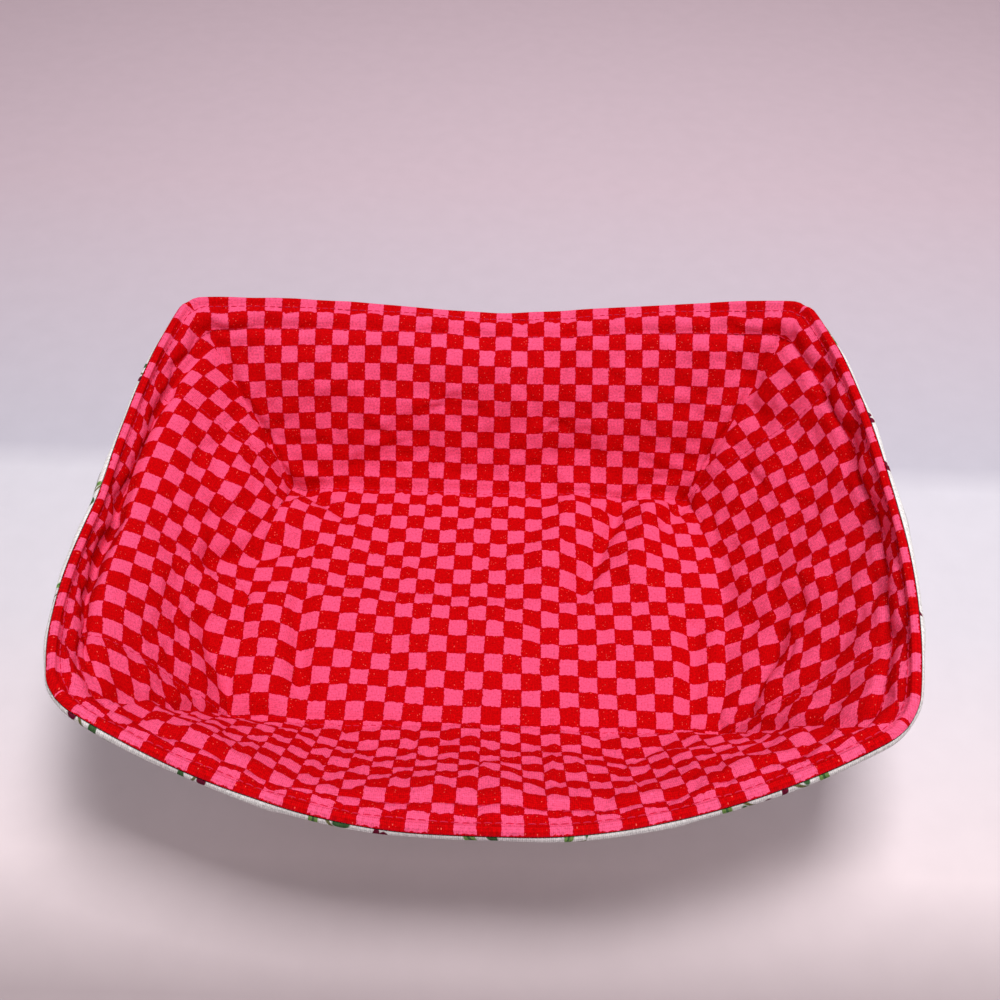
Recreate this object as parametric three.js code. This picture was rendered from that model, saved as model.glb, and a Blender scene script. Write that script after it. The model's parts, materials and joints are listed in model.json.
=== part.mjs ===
// Microwave container cozy: a soft, quilted fabric bowl with four corner darts.
// Two cotton pieces, each backed with batting, are darted at the corners, sewn together
// round the rim, turned right side out and topstitched. Units are millimetres, +Z is up,
// +X runs along the long sides and -Y is the near side.

import * as THREE from 'three';

// Flat pieces, as they lie before the darts are sewn
const FLAT_LENGTH = 317.5;
const FLAT_WIDTH = 254;
const DART_DEPTH = 76.2; // from a short edge in to the dart points
const QUILT_SPACING = 52.4; // the outer two quilting lines pass through the dart points
const DART_SPREAD_LONG = 31.75; // from a dart point out to its leg's end by a long edge
const DART_SPREAD_SHORT = 31.75; // the same by a short edge

// Layers
const FABRIC = 0.5;
const BATTING = 2.25;
const LAYER_GAP = 0.3;

// Stitching
const THREAD_RADIUS = 0.25;
const EDGE_STITCH_INSET = 4.1;
const INNER_STITCH_INSET = 12.5;
const STITCH_PINCH = 1.1; // how far topstitching draws each face in
const RIM_PINCH = 0.9; // how far the turned edge draws each face in
const QUILT_FURROW = 1.5; // how far a quilting line draws its own face in
const FURROW_REACH = 8; // from a quilting line to where the padding is full again
const HEM = 1.6; // how far the turned edge stands past the batting and the faces
const THREAD_END = 2.5; // what a seam's thread stops short of the inner topstitching

// Form of the bowl: the degrees that each wall rises above level at its toe, a quarter, a half
// and three quarters up and at the rim, and where each rim corner lies from its dart point
const WALL_ANGLES_DEG = {
  far: [30, 68, 62, 36, 8],
  near: [22, 41, 45, 39, 41],
  left: [44, 50, 56, 30, 92],
  right: [52, 48, 44, 58, 104],
};
const LEFT_TAKE_UP = 11; // cloth that the left wall loses in the tuck behind its roll
const LEFT_TOE_RAISE = 6; // how far the floor bends up to the left wall
const RIGHT_TOE_RAISE = 2;
const BEND_START = 30; // from the floor's middle to where that bend starts
const FAR_LEFT_OUT = 28; // along X
const FAR_LEFT_AWAY = 25; // along Y
const FAR_LEFT_UP = 67.5;
const FAR_LEFT_PULL = 5; // how far the gathered cloth draws the dart point in along X
const FAR_RIGHT_OUT = 26.5;
const FAR_RIGHT_AWAY = 27.5;
const FAR_RIGHT_UP = 72.5;
const FAR_RIGHT_PULL = 7.5;
const NEAR_LEFT_OUT = 24;
const NEAR_LEFT_AWAY = 32.5;
const NEAR_LEFT_UP = 65;
const NEAR_LEFT_PULL = 3;
const NEAR_RIGHT_OUT = 27.5;
const NEAR_RIGHT_AWAY = 30.5;
const NEAR_RIGHT_UP = 64;
const NEAR_RIGHT_PULL = 7;
const TURN_POWER = 2.2; // how late a wall's middle turns in towards its darts
const RISE_POWER = 1.5; // how late it rises towards them
const PULL_POWER = 5; // how close to a dart its pull is felt along the long walls

// Large soft swells and hollows of the padded cloth, each between two places of the flat piece
const SWELLS = {
  acrossFloor: { from: [-60, -8], to: [0, -14], reach: 14, height: 4 },
  farLeftPuff: { from: [-100, 34], to: [-84, 31], reach: 12, height: 6 },
  leftOfFurrow: { from: [32, 42], to: [22, 18], reach: 9, height: 4.4 },
  rightOfFurrow: { from: [62, 42], to: [52, 14], reach: 8, height: 5 },
  nearMiddle: { from: [0, -72], to: [0, -108], reach: 18, height: 2.6 },
  nearLeftHollow: { from: [-46, -72], to: [-46, -104], reach: 12, height: -2.4 },
  nearRightHollow: { from: [46, -72], to: [46, -104], reach: 12, height: -2.4 },
};

// Mesh counts
const FLOOR_COLUMNS = 8;
const WALL_ROWS = 5; // below the inner topstitching
const DART_CELLS = 2; // between a dart and the nearest straight grid line
const SECTION_STEPS = 60;
const THREAD_SIDES = 5;

const COTTON_RED = '#c8102a';
const COTTON_WHITE = '#f1ebe6';
const BATTING_CREAM = '#efe6d2';
const THREAD_RED = '#a3122b';
const THREAD_WHITE = '#e9e2dc';

const halfLength = FLAT_LENGTH / 2;
const halfWidth = FLAT_WIDTH / 2;
const dartU = halfLength - DART_DEPTH;
const dartV = QUILT_SPACING;
const longSlant = halfWidth - dartV - HEM;
const shortSlant = DART_DEPTH - HEM;
const stack = 2 * FABRIC + 2 * BATTING + 3 * LAYER_GAP;

// How far up the wall each row of the mesh lies, from 0 at the floor to 1 where the hem turns
const innerRow = 1 - (INNER_STITCH_INSET - HEM) / longSlant;
const edgeRow = 1 - (EDGE_STITCH_INSET - HEM) / longSlant;
const lowerRows = Array.from({ length: WALL_ROWS + 1 }, (_, k) => (innerRow * k) / WALL_ROWS);
const wallRows = [...lowerRows, edgeRow, 1];

function lerp(a, b, f) {
  return a + (b - a) * f;
}

// A wall's middle section: the distance out and up at each step of its slant
function wallSection(degrees, slant) {
  const out = [0];
  const up = [0];
  const spans = degrees.length - 1;
  for (let k = 0; k < SECTION_STEPS; k++) {
    const place = ((k + 0.5) / SECTION_STEPS) * spans;
    const span = Math.min(Math.floor(place), spans - 1);
    const angle = THREE.MathUtils.degToRad(lerp(degrees[span], degrees[span + 1], place - span));
    out.push(out[k] + (Math.cos(angle) * slant) / SECTION_STEPS);
    up.push(up[k] + (Math.sin(angle) * slant) / SECTION_STEPS);
  }
  return (t) => {
    const place = t * SECTION_STEPS;
    const k = Math.min(Math.floor(place), SECTION_STEPS - 1);
    return { out: lerp(out[k], out[k + 1], place - k), up: lerp(up[k], up[k + 1], place - k) };
  };
}

const sections = {
  far: wallSection(WALL_ANGLES_DEG.far, longSlant),
  near: wallSection(WALL_ANGLES_DEG.near, longSlant),
  left: wallSection(WALL_ANGLES_DEG.left, shortSlant - LEFT_TAKE_UP),
  right: wallSection(WALL_ANGLES_DEG.right, shortSlant),
};

const rimCorners = {
  far_left: { out: FAR_LEFT_OUT, away: FAR_LEFT_AWAY, up: FAR_LEFT_UP, pull: FAR_LEFT_PULL },
  far_right: { out: FAR_RIGHT_OUT, away: FAR_RIGHT_AWAY, up: FAR_RIGHT_UP, pull: FAR_RIGHT_PULL },
  near_left: { out: NEAR_LEFT_OUT, away: NEAR_LEFT_AWAY, up: NEAR_LEFT_UP, pull: NEAR_LEFT_PULL },
  near_right: { out: NEAR_RIGHT_OUT, away: NEAR_RIGHT_AWAY, up: NEAR_RIGHT_UP, pull: NEAR_RIGHT_PULL },
};

function cornerAt(sideX, sideY) {
  return rimCorners[`${sideY > 0 ? 'far' : 'near'}_${sideX > 0 ? 'right' : 'left'}`];
}

// The sewn dart from its point at the floor to the rim corner
function dartSeam(sideX, sideY, t) {
  const corner = cornerAt(sideX, sideY);
  const x = sideX * (dartU + corner.out * t);
  const y = sideY * (dartV + corner.away * t);
  return new THREE.Vector3(x, y, corner.up * t);
}

function bowed(middle, corner, s, power) {
  return lerp(middle, corner, Math.abs(s) ** power);
}

// Shift along X that a dart's gathers give, at shares -1 to 1 across the floor or a wall
function drawnAlongX(shareU, shareV, t) {
  const pull = cornerAt(shareU, shareV).pull * (1 - t);
  return -Math.sign(shareU) * pull * Math.abs(shareU) ** PULL_POWER * Math.abs(shareV) ** TURN_POWER;
}

function toeRaise(sideX) {
  return sideX > 0 ? RIGHT_TOE_RAISE : LEFT_TOE_RAISE;
}

function floorPlace(u, v) {
  const bend = THREE.MathUtils.smoothstep(Math.abs(u), BEND_START, dartU);
  const raise = toeRaise(u) * bend * (1 - (v / dartV) ** 2);
  return new THREE.Vector3(u + drawnAlongX(u / dartU, v / dartV, 0), v, stack + raise);
}

// Face of the lining: where the point of a wall at share s across and t up lies in the bowl
function longWall(sideY, s, t) {
  const { out, up } = sections[sideY > 0 ? 'far' : 'near'](t);
  const left = dartSeam(-1, sideY, t);
  const right = dartSeam(1, sideY, t);
  const corner = s < 0 ? left : right;
  const y = bowed(sideY * (dartV + out), corner.y, s, TURN_POWER);
  const z = bowed(up, corner.z, s, RISE_POWER);
  const x = lerp(left.x, right.x, (s + 1) / 2) + drawnAlongX(s, sideY, t);
  return new THREE.Vector3(x, y, z + stack);
}

function shortWall(sideX, s, t) {
  const { out, up } = sections[sideX > 0 ? 'right' : 'left'](t);
  const near = dartSeam(sideX, -1, t);
  const far = dartSeam(sideX, 1, t);
  const corner = s < 0 ? near : far;
  const x = bowed(sideX * (dartU + out), corner.x, s, TURN_POWER) + drawnAlongX(sideX, s, t);
  const z = bowed(up, corner.z, s, RISE_POWER) + toeRaise(sideX) * (1 - s * s) * (1 - t / 2);
  return new THREE.Vector3(x, lerp(near.y, far.y, (s + 1) / 2), z + stack);
}

// The cloth mesh that all layers share. Each vertex keeps its place on the lining's face and in
// the flat piece, how far up the wall it lies and whether a quilting line runs through it.
const cloth = { points: [], flats: [], rise: [], quilted: [], faces: [], byPlace: new Map() };

function clothVertex(point, flat, t, quilted) {
  const key = [point.x, point.y, point.z].map((c) => Math.round(c * 1000)).join();
  if (!cloth.byPlace.has(key)) {
    cloth.byPlace.set(key, cloth.points.length);
    cloth.points.push(point);
    cloth.flats.push(flat);
    cloth.rise.push(t);
    cloth.quilted.push(quilted);
  }
  const index = cloth.byPlace.get(key);
  cloth.quilted[index] ||= quilted;
  return index;
}

// Faces between two rows of vertices, seen from inside the bowl; degenerate ones at the dart
// points are left out
function addStrip(lower, upper, flip) {
  for (let k = 0; k + 1 < lower.length; k++) {
    const quad = [lower[k], lower[k + 1], upper[k + 1], upper[k]];
    for (const [a, b, c] of [[0, 1, 2], [0, 2, 3]]) {
      const face = [quad[a], quad[b], quad[c]];
      if (new Set(face).size === 3) cloth.faces.push(flip ? face.reverse() : face);
    }
  }
}

const columnShares = Array.from({ length: FLOOR_COLUMNS + 1 }, (_, k) => k / FLOOR_COLUMNS);
const columns = columnShares.map((share) => lerp(-dartU, dartU, share));
const panel = [0, FURROW_REACH, dartV / 2, dartV - FURROW_REACH];
const rows = [...panel.map((v) => v - dartV), ...panel, dartV];

function isQuilted(v) {
  return v === 0 || Math.abs(v) === dartV;
}

// Shares across a wall: its straight grid lines, then the cells that close on the darts
function sharesAcross(lines, point, spread, t) {
  const leg = point + spread * t;
  const fan = Array.from({ length: DART_CELLS }, (_, k) => lerp(point, leg, (k + 1) / DART_CELLS));
  return [...fan.map((d) => -d).reverse(), ...lines, ...fan].map((d) => ({ line: d, share: d / leg }));
}

function floorVertex(u, v) {
  return clothVertex(floorPlace(u, v), new THREE.Vector2(u, v), 0, isQuilted(v));
}

const floorRows = rows.map((v) => columns.map((u) => floorVertex(u, v)));
for (let k = 0; k + 1 < floorRows.length; k++) addStrip(floorRows[k], floorRows[k + 1], false);

function longWallRow(sideY, t) {
  const across = sharesAcross(columns, dartU, DART_SPREAD_LONG, t);
  return across.map(({ line, share }) => {
    const flat = new THREE.Vector2(line, sideY * (dartV + longSlant * t));
    return clothVertex(longWall(sideY, share, t), flat, t, false);
  });
}

function shortWallRow(sideX, t) {
  const across = sharesAcross(rows, dartV, DART_SPREAD_SHORT, t);
  return across.map(({ line, share }) => {
    const flat = new THREE.Vector2(sideX * (dartU + shortSlant * t), line);
    return clothVertex(shortWall(sideX, share, t), flat, t, isQuilted(line));
  });
}

const walls = {};
for (const [name, side, makeRow] of [
  ['far', 1, longWallRow],
  ['near', -1, longWallRow],
  ['right', 1, shortWallRow],
  ['left', -1, shortWallRow],
]) {
  walls[name] = wallRows.map((t) => makeRow(side, t));
  const flip = name === 'near' || name === 'right';
  for (let k = 0; k + 1 < wallRows.length; k++) addStrip(walls[name][k], walls[name][k + 1], flip);
}

// One row of the walls as a closed ring, counterclockwise from above
function ring(row) {
  const parts = [
    walls.near[row],
    walls.right[row],
    [...walls.far[row]].reverse(),
    [...walls.left[row]].reverse(),
  ];
  return parts.flatMap((part) => part.slice(0, -1));
}

// Normals of the faces round each vertex
function normalsRound() {
  const round = cloth.points.map(() => []);
  for (const face of cloth.faces) {
    const [a, b, c] = face.map((k) => cloth.points[k]);
    const normal = b.clone().sub(a).cross(c.clone().sub(a)).normalize();
    for (const k of face) round[k].push(normal);
  }
  return round;
}

function meanOf(normals) {
  return normals.reduce((sum, n) => sum.add(n), new THREE.Vector3()).normalize();
}

// How far the swells lift the cloth at a place of the flat piece
function swellAt(flat) {
  let lift = 0;
  for (const { from, to, reach, height } of Object.values(SWELLS)) {
    const start = new THREE.Vector2(...from);
    const along = new THREE.Vector2(...to).sub(start);
    const share = flat.clone().sub(start).dot(along) / along.lengthSq();
    const nearest = start.addScaledVector(along, THREE.MathUtils.clamp(share, 0, 1));
    lift += height * Math.exp(-((flat.distanceTo(nearest) / reach) ** 2));
  }
  return lift;
}

normalsRound().forEach((normals, k) => {
  cloth.points[k].addScaledVector(meanOf(normals), swellAt(cloth.flats[k]));
});

// Offset direction of each vertex: moving by d along it moves every face round it by about d
function offsetDirections() {
  return normalsRound().map((normals, k) => {
    const mean = meanOf(normals);
    const least = Math.min(...normals.map((n) => n.dot(mean)));
    const direction = mean.divideScalar((1 + least) / 2);
    if (cloth.rise[k] === 0) direction.divideScalar(direction.z);
    return direction;
  });
}

const directions = offsetDirections();
const rimRing = ring(wallRows.length - 1);
const edgeRing = ring(wallRows.length - 2);
const innerRing = ring(wallRows.length - 3);

// How far stitching draws one face of the padding in at a vertex
function drawnIn(k) {
  const t = cloth.rise[k];
  const sewn = t === innerRow || t === edgeRow ? STITCH_PINCH : 0;
  const turned = t === 1 ? RIM_PINCH : 0;
  return Math.max(sewn, turned, cloth.quilted[k] ? QUILT_FURROW : 0);
}

// Depth of each face of the layers below the lining's unsewn face, at a vertex
const middle = stack / 2;
const depths = {
  liningFace: (k) => drawnIn(k),
  liningBack: (k) => drawnIn(k) + FABRIC,
  liningBattingTop: (k) => drawnIn(k) + FABRIC + LAYER_GAP,
  liningBattingBack: () => middle - LAYER_GAP / 2,
  outerBattingTop: () => middle + LAYER_GAP / 2,
  outerBattingBack: (k) => stack - drawnIn(k) - FABRIC - LAYER_GAP,
  outerBack: (k) => stack - drawnIn(k) - FABRIC,
  outerFace: (k) => stack - drawnIn(k),
};

function atDepth(k, depth) {
  return cloth.points[k].clone().addScaledVector(directions[k], -depth);
}

// A point past the rim: k is the rim vertex, e the vertex below it on the edge stitching
function pastRim(k, e, depth, overhang) {
  const outward = cloth.points[k].clone().sub(cloth.points[e]).normalize();
  return atDepth(k, depth).addScaledVector(outward, overhang);
}

function meshGeometry(points, faces) {
  const geometry = new THREE.BufferGeometry();
  const flat = points.flatMap((p) => [p.x, p.y, p.z]);
  geometry.setAttribute('position', new THREE.Float32BufferAttribute(flat, 3));
  geometry.setIndex(faces.flat());
  geometry.computeVertexNormals();
  return geometry;
}

// A closed layer between two faces. hem lists the rings, from the upper face's rim to the
// lower face's rim, that turn the edge.
function layer(upperDepth, lowerDepth, hem) {
  const count = cloth.points.length;
  const points = [
    ...cloth.points.map((_, k) => atDepth(k, upperDepth(k))),
    ...cloth.points.map((_, k) => atDepth(k, lowerDepth(k))),
  ];
  const faces = [
    ...cloth.faces.map((f) => [...f]),
    ...cloth.faces.map(([a, b, c]) => [a + count, c + count, b + count]),
  ];
  const rings = [rimRing];
  for (const { depth, overhang } of hem) {
    rings.push(rimRing.map((_, k) => points.length + k));
    points.push(...rimRing.map((v, k) => pastRim(v, edgeRing[k], depth, overhang)));
  }
  rings.push(rimRing.map((v) => v + count));
  for (let r = 0; r + 1 < rings.length; r++) {
    for (let k = 0; k < rimRing.length; k++) {
      const n = (k + 1) % rimRing.length;
      const [a, b] = [rings[r], rings[r + 1]];
      faces.push([a[k], b[k], b[n]], [a[k], b[n], a[n]]);
    }
  }
  return meshGeometry(points, faces);
}

// A thread as a round tube along points; ups point away from the cloth under it
function threadTube(points, ups, closed) {
  const count = points.length;
  const vertices = [];
  const faces = [];
  for (let k = 0; k < count; k++) {
    const next = points[closed ? (k + 1) % count : Math.min(k + 1, count - 1)];
    const last = points[closed ? (k + count - 1) % count : Math.max(k - 1, 0)];
    const along = next.clone().sub(last).normalize();
    const side = ups[k].clone().cross(along).normalize();
    const up = along.clone().cross(side);
    for (let s = 0; s < THREAD_SIDES; s++) {
      const turn = (2 * Math.PI * s) / THREAD_SIDES;
      const point = points[k].clone().addScaledVector(side, THREAD_RADIUS * Math.cos(turn));
      vertices.push(point.addScaledVector(up, THREAD_RADIUS * Math.sin(turn)));
    }
  }
  const at = (k, s) => (k % count) * THREAD_SIDES + (s % THREAD_SIDES);
  for (let k = 0; k < (closed ? count : count - 1); k++) {
    for (let s = 0; s < THREAD_SIDES; s++) {
      faces.push([at(k, s), at(k, s + 1), at(k + 1, s + 1)], [at(k, s), at(k + 1, s + 1), at(k + 1, s)]);
    }
  }
  if (!closed) {
    for (let s = 1; s + 1 < THREAD_SIDES; s++) {
      faces.push([at(0, 0), at(0, s + 1), at(0, s)]);
      faces.push([at(count - 1, 0), at(count - 1, s), at(count - 1, s + 1)]);
    }
  }
  return meshGeometry(vertices, faces);
}

// Threads lie on the lining's face or on the outer face, a layer gap clear of the cloth
const threadLift = THREAD_RADIUS + LAYER_GAP;

function onLining(k) {
  return { point: atDepth(k, depths.liningFace(k) - threadLift), up: directions[k].clone() };
}

function onOuter(k) {
  return { point: atDepth(k, depths.outerFace(k) + threadLift), up: directions[k].clone().negate() };
}

function threadAlong(stops, closed) {
  return threadTube(stops.map((s) => s.point), stops.map((s) => s.up), closed);
}

function between(a, b, f) {
  return { point: a.point.clone().lerp(b.point, f), up: a.up.clone().lerp(b.up, f) };
}

// A seam up a wall ends just below the inner topstitching; lowerToUpper holds its stops up to there
const lastSpan = lowerRows[WALL_ROWS] - lowerRows[WALL_ROWS - 1];
const endShare = 1 - THREAD_END / longSlant / lastSpan;

function stopShort(lowerToUpper) {
  const last = lowerToUpper.length - 1;
  return [...lowerToUpper.slice(0, last), between(lowerToUpper[last - 1], lowerToUpper[last], endShare)];
}

// Vertices of a quilting line from the left wall's inner topstitching to the right wall's
function quiltStops(line, place) {
  const column = DART_CELLS + line;
  const up = (wall) => lowerRows.map((_, row) => place(walls[wall][row][column]));
  const left = stopShort(up('left')).reverse();
  const across = floorRows[line].slice(1, -1).map(place);
  return [...left, ...across, ...stopShort(up('right'))];
}

function dartStops(wall, end, place) {
  const stops = lowerRows.map((_, row) => place(walls[wall][row].at(end)));
  const start = between(stops[0], stops[1], THREAD_END / longSlant / lastSpan);
  return stopShort([start, ...stops.slice(1)]);
}

function clothMaterial(color) {
  return new THREE.MeshStandardMaterial({ color, roughness: 0.9, metalness: 0 });
}

const part = new THREE.Group();

function addPiece(name, geometry, color) {
  const mesh = new THREE.Mesh(geometry, clothMaterial(color));
  mesh.name = name;
  part.add(mesh);
}

// Fabric layers with their turned edges, which meet at the rim seam, and the batting between
const hemInside = HEM - FABRIC;
const liningHem = [
  { depth: lerp(RIM_PINCH, middle, 0.35), overhang: HEM },
  { depth: middle - LAYER_GAP / 2, overhang: HEM },
  { depth: middle - LAYER_GAP / 2, overhang: hemInside },
  { depth: lerp(RIM_PINCH + FABRIC, middle, 0.35), overhang: hemInside },
];
const outerHem = liningHem.map(({ depth, overhang }) => ({ depth: stack - depth, overhang })).reverse();

addPiece('lining', layer(depths.liningFace, depths.liningBack, liningHem), COTTON_RED);
addPiece('lining_batting', layer(depths.liningBattingTop, depths.liningBattingBack, []), BATTING_CREAM);
addPiece('outer_batting', layer(depths.outerBattingTop, depths.outerBattingBack, []), BATTING_CREAM);
addPiece('outer_shell', layer(depths.outerBack, depths.outerFace, outerHem), COTTON_WHITE);

// Rim: the hidden seam, then two rows of topstitching, whose thread shows on both faces
const seamStops = rimRing.map((k, i) => ({
  point: pastRim(k, edgeRing[i], middle, hemInside / 2),
  up: directions[k].clone(),
}));
addPiece('rim_seam_thread', threadAlong(seamStops, true), THREAD_RED);
addPiece('edge_topstitch_lining', threadAlong(edgeRing.map(onLining), true), THREAD_RED);
addPiece('inner_topstitch_lining', threadAlong(innerRing.map(onLining), true), THREAD_RED);
addPiece('edge_topstitch_outer', threadAlong(edgeRing.map(onOuter), true), THREAD_WHITE);
addPiece('inner_topstitch_outer', threadAlong(innerRing.map(onOuter), true), THREAD_WHITE);

// Quilting lines from rim to rim along the bowl, one set on each face
const quiltLines = { near: 0, middle: panel.length, far: rows.length - 1 };
for (const [name, line] of Object.entries(quiltLines)) {
  addPiece(`lining_quilting_${name}`, threadAlong(quiltStops(line, onLining), false), THREAD_RED);
  addPiece(`outer_quilting_${name}`, threadAlong(quiltStops(line, onOuter), false), THREAD_WHITE);
}

// Dart seams in the four corners of each fabric
for (const wall of ['far', 'near']) {
  for (const [side, end] of [['left', 0], ['right', -1]]) {
    addPiece(`lining_dart_${wall}_${side}`, threadAlong(dartStops(wall, end, onLining), false), THREAD_RED);
    addPiece(`outer_dart_${wall}_${side}`, threadAlong(dartStops(wall, end, onOuter), false), THREAD_WHITE);
  }
}

// The bowl stands with the middle of its box over the origin
const box = new THREE.Box3().setFromObject(part);
part.position.set(-(box.min.x + box.max.x) / 2, -(box.min.y + box.max.y) / 2, -box.min.z);

export default part;
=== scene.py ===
# %% [markdown]
# # A quilted cozy for a microwave container
# The object is a soft bowl of two cotton pieces, each backed with batting, darted at the four
# corners, sewn together round the rim, turned and topstitched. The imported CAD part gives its
# size and place. This lesson lays fine cloth over that form and finishes it as fabric.

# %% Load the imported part
import json
import math

import bpy
import numpy as np
from mathutils import Matrix, Vector, noise


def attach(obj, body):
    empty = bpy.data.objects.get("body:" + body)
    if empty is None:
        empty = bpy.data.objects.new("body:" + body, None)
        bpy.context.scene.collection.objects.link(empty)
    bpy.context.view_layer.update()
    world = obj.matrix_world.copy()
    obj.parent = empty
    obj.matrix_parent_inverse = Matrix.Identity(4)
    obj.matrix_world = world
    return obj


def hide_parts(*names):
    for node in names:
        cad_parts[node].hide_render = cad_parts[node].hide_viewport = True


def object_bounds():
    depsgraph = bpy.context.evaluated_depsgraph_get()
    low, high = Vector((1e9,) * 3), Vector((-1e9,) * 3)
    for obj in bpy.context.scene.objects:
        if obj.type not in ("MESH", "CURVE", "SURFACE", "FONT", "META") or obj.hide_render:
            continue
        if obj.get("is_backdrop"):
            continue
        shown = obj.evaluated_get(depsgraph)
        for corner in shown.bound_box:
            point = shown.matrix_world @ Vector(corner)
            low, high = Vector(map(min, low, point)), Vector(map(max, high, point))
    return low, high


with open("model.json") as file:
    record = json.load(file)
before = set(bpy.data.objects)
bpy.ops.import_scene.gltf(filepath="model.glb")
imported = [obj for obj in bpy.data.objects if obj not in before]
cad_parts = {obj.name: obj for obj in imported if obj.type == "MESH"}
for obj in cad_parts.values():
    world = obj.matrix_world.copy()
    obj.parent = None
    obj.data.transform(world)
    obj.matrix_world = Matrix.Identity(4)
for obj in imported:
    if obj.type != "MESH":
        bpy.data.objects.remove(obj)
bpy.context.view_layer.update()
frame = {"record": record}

# %% [markdown]
# ## The cut pieces
# Both cotton pieces are the same rectangle with a wedge sewn shut in each corner. Everything
# below is worked out from that flat cut, because the printed check follows the flat cloth and
# not the finished bowl. The sizes are the ones of the CAD part, in metres.

# %% Sizes of the flat cut
FLAT_LENGTH, FLAT_WIDTH = 0.3175, 0.254
DART_DEPTH = 0.0762  # from a short edge in to the dart points
QUILT_SPACING = 0.0524  # the outer two quilting lines pass through the dart points
DART_SPREAD = 0.03175  # from a dart point out to its leg's end by an edge
HEM = 0.0016  # how far the turned edge stands past the faces
EDGE_STITCH_INSET, INNER_STITCH_INSET = 0.0041, 0.0125
STACK = 0.0064  # both fabrics and both battings
CHECK = 0.00635  # one printed square

half_length, half_width = FLAT_LENGTH / 2, FLAT_WIDTH / 2
dart_u, dart_v = half_length - DART_DEPTH, QUILT_SPACING
long_slant, short_slant = half_width - dart_v - HEM, DART_DEPTH - HEM
seat = next(m for m in frame["record"]["mounts"] if m["name"] == "container_seat")
FLOOR_CENTRE = np.array([seat["pos_m"][0], seat["pos_m"][1] - QUILT_SPACING / 2, STACK])
print("floor centre in mm:", (1000 * FLOOR_CENTRE).round(2))

# %% [markdown]
# ## The form of the bowl
# Each wall is a strip that starts at the floor and climbs at an angle that changes on the way
# up. It could be sculpted, but a surface written as a formula of the flat place keeps the
# cloth's length honest. The left wall has more cloth than height, so it rolls over below the
# topstitching, and the rest of it is tucked down behind the roll.

# %% Wall sections
WALL_ANGLES = {  # share of the way up, and degrees above level there
    "far": ((0, 30), (0.25, 68), (0.5, 62), (0.75, 36), (1, 8)),
    "near": ((0, 22), (0.25, 41), (0.5, 45), (0.75, 39), (1, 41)),
    "left": ((0, 22), (0.11, 44), (0.28, 51), (0.62, 52), (0.7, 38), (0.755, 4), (0.79, -56),
             (0.825, -50), (0.826, 0), (0.845, 0), (0.846, 91), (1, 93)),
    "right": ((0, 32), (0.08, 53), (0.25, 50), (0.5, 47), (0.75, 59), (1, 104)),
}
LONG_WALLS = ("far", "near")
TUCK_DEPTH = 0.0042  # of the tuck behind the left wall's roll
SECTION_STEPS = 240


def wall_section(wall):
    """Distance out and up along a wall's middle, at equal steps of its slant."""
    slant = long_slant if wall in LONG_WALLS else short_slant
    slant -= 2 * TUCK_DEPTH if wall == "left" else 0
    place = (np.arange(SECTION_STEPS) + 0.5) / SECTION_STEPS
    angle = np.radians(np.interp(place, *zip(*WALL_ANGLES[wall])))
    out = np.concatenate([[0], np.cumsum(np.cos(angle))]) * slant / SECTION_STEPS
    up = np.concatenate([[0], np.cumsum(np.sin(angle))]) * slant / SECTION_STEPS
    return out, up


sections = {wall: wall_section(wall) for wall in WALL_ANGLES}
steps = np.linspace(0, 1, SECTION_STEPS + 1)
for wall, (out, up) in sections.items():
    print(wall, "rim is", round(1000 * out[-1], 1), "mm out and", round(1000 * up[-1], 1), "mm up")

# %% [markdown]
# ## Darts
# A dart is a wedge of cloth folded away and sewn shut, which turns a flat piece into a bowl. Its
# seam runs from the dart point, in a corner of the floor, to a corner of the rim. It is straight
# here, because its two legs are cut straight. The cloth gathered at the point draws it in.

# %% Dart seams
RIM_CORNERS = {  # each from its dart point: out along X, away along Y, up
    ("far", "left"): (0.0275, 0.025, 0.0688),
    ("far", "right"): (0.0265, 0.0275, 0.0725),
    ("near", "left"): (0.024, 0.032, 0.0654),
    ("near", "right"): (0.0275, 0.0314, 0.0633),
}
PULLED_IN = {  # how far each dart point is drawn in along X by the gathered cloth
    ("far", "left"): 0.005,
    ("far", "right"): 0.0075,
    ("near", "left"): 0.003,
    ("near", "right"): 0.007,
}
PULL_POWER = 5  # how close to a dart the pull is felt along the long walls
TURN_POWER, RISE_POWER = 2.2, 1.5  # how late a wall turns in, and rises, to its darts


def dart_seam(side_x, side_y, t):
    name = ("far" if side_y > 0 else "near", "right" if side_x > 0 else "left")
    out, away, up = RIM_CORNERS[name]
    return np.column_stack([side_x * (dart_u + out * t), side_y * (dart_v + away * t), up * t])


def drawn_in(u_share, v_share, t):
    """Shift along X near a dart point. Shares run from -1 to 1 across the floor or a wall."""
    left, right = ([PULLED_IN["near", side], PULLED_IN["far", side]] for side in ("left", "right"))
    pull = np.where(u_share < 0, np.where(v_share < 0, *left), -np.where(v_share < 0, *right))
    return pull * np.abs(u_share) ** PULL_POWER * np.abs(v_share) ** TURN_POWER * (1 - t)


for (wall, side), corner in RIM_CORNERS.items():
    print(wall, side, "dart is", round(1000 * math.hypot(*corner), 1), "mm long")

# %% [markdown]
# ## From the flat cut to the bowl
# Two formulas carry a place of the flat cloth onto a wall. The first folds the left wall's spare
# cloth into its tuck, so the print is hidden there as it is in a real fold. The second bends the
# wall along its section and brings its two ends to the dart seams.

# %% Places on a wall
TUCK_GAP = 0.0016  # how far the tuck stands open
TUCK_SLOPE = math.radians(50)  # below level
TUCK_POWER = 6  # how close to its darts the tuck reaches
TOE_RAISE = {"far": 0, "near": 0, "left": 0.006, "right": 0.002}  # the floor bends up to a wall
SIDES = {"far": 1, "near": -1, "left": -1, "right": 1}


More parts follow.
